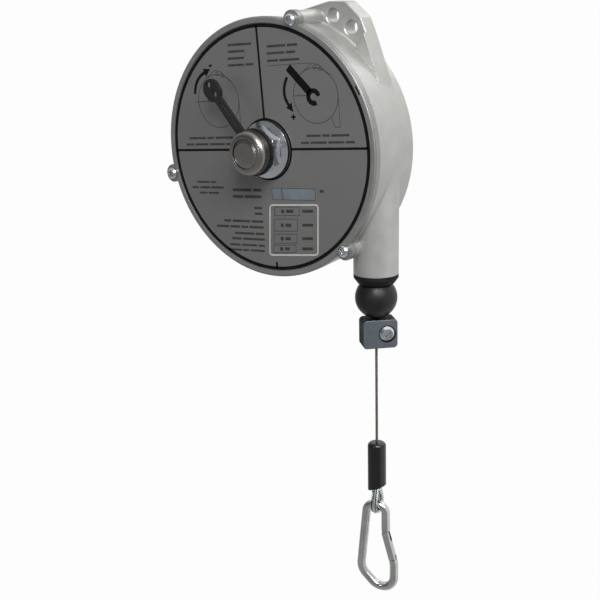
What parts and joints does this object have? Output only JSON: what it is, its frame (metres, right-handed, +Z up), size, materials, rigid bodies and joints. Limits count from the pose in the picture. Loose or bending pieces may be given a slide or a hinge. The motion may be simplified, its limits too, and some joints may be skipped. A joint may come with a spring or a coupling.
{
  "type": "tool balancer",
  "caption": "Hanging spring balancer: round die cast drum case with a lug, an adjusting hub with lever, and a wire rope with stop ball, clamp and snap hook.",
  "frame": {"origin": "middle of the suspension hole, half way through the lug", "axes": "+X to the right of the label as its reader sees it, +Y from the label to the back, +Z up"},
  "size_m": [0.1865, 0.0832, 0.4308],
  "materials": {
    "cast_case": "die cast, bead blasted satin",
    "cover": "die cast, satin",
    "label": "grey printed aluminium plate with black lines",
    "zinc_steel": "zinc plated",
    "dark_steel": "blackened",
    "bright_steel": "polished",
    "bronze": "sintered",
    "drum": "machined",
    "spring_steel": "blued",
    "black_plastic": "moulded, fine grain",
    "black_rubber": "matt with a soft sheen",
    "clamp_paint": "blue grey coating",
    "rope_steel": "galvanised strand",
    "bare_aluminium": "pressed"
  },
  "bodies": {
    "housing": {"housing": "cast_case", "front_cover": "cover", "label_plate": "label", "cover_screws": "zinc_steel", "front_bush": "bronze", "rear_bush": "bronze", "guide_bush": "black_plastic", "pawl_pin": "zinc_steel"},
    "adjusting_hub": {"arbor": "zinc_steel", "adjusting_hub": "zinc_steel", "ratchet_wheel": "dark_steel"},
    "release_lever": {"release_lever": "dark_steel", "release_spindle": "zinc_steel", "end_cap": "zinc_steel", "cap_screw": "zinc_steel"},
    "pawl": {"pawl": "dark_steel"},
    "drum": {"cable_drum": "drum", "drum_lid": "drum", "lid_screws": "zinc_steel", "drum_bushes": "bronze", "mainspring": "spring_steel", "wound_rope": "rope_steel", "rope_nipple": "zinc_steel"},
    "rope_end": {"rope_lead": "rope_steel", "stop_ball": "black_rubber", "clamp_front": "clamp_paint", "clamp_back": "clamp_paint", "clamp_screw": "zinc_steel", "clamp_nut": "zinc_steel", "rope_tail": "rope_steel", "rope_sleeve": "black_rubber", "ferrule": "bare_aluminium", "thimble": "zinc_steel", "rope_eye": "rope_steel"},
    "snap_hook": {"snap_hook": "bright_steel", "gate_pin": "zinc_steel"},
    "gate": {"gate": "bright_steel"}
  },
  "joints": [
    {"name": "rope_travel", "type": "slide", "parent": "housing", "child": "rope_end", "axis": [0, 0, -1], "range_m": [0, 2], "stiffness_N_per_m": 4, "springref_m": -6, "deforming": ["rope_lead"]},
    {"name": "drum_spin", "type": "hinge", "parent": "housing", "child": "drum", "pos_m": [-0.05199, -0.0355, -0.0825], "axis": [0, 1, 0], "range_deg": [0, 1534]},
    {"name": "hub_adjust", "type": "hinge", "parent": "housing", "child": "adjusting_hub", "pos_m": [-0.05199, -0.0355, -0.0825], "axis": [0, -1, 0], "continuous": true},
    {"name": "lever_release", "type": "hinge", "parent": "housing", "child": "release_lever", "pos_m": [-0.05199, -0.0355, -0.0825], "axis": [0, 1, 0], "range_deg": [0, 35], "stiffness_Nm_per_rad": 0.05, "springref_deg": -28.65},
    {"name": "pawl_lift", "type": "hinge", "parent": "housing", "child": "pawl", "pos_m": [-0.02499, 0.0095, -0.06], "axis": [0, 1, 0], "range_deg": [0, 8]},
    {"name": "hook_swing", "type": "hinge", "parent": "rope_end", "child": "snap_hook", "pos_m": [0.02071, -0.0085, -0.34415], "axis": [0.9781, 0.2079, 0], "range_deg": [-45, 45]},
    {"name": "gate_open", "type": "hinge", "parent": "snap_hook", "child": "gate", "pos_m": [0.02755, -0.00705, -0.3671], "axis": [-0.2079, 0.9781, 0], "range_deg": [0, 25], "stiffness_Nm_per_rad": 0.12, "springref_deg": -57.3}
  ],
  "couplings": [
    {"joint": "drum_spin", "follows": "rope_travel", "rad_per_m": 13.378},
    {"joint": "pawl_lift", "follows": "lever_release", "ratio": 0.22857}
  ]
}
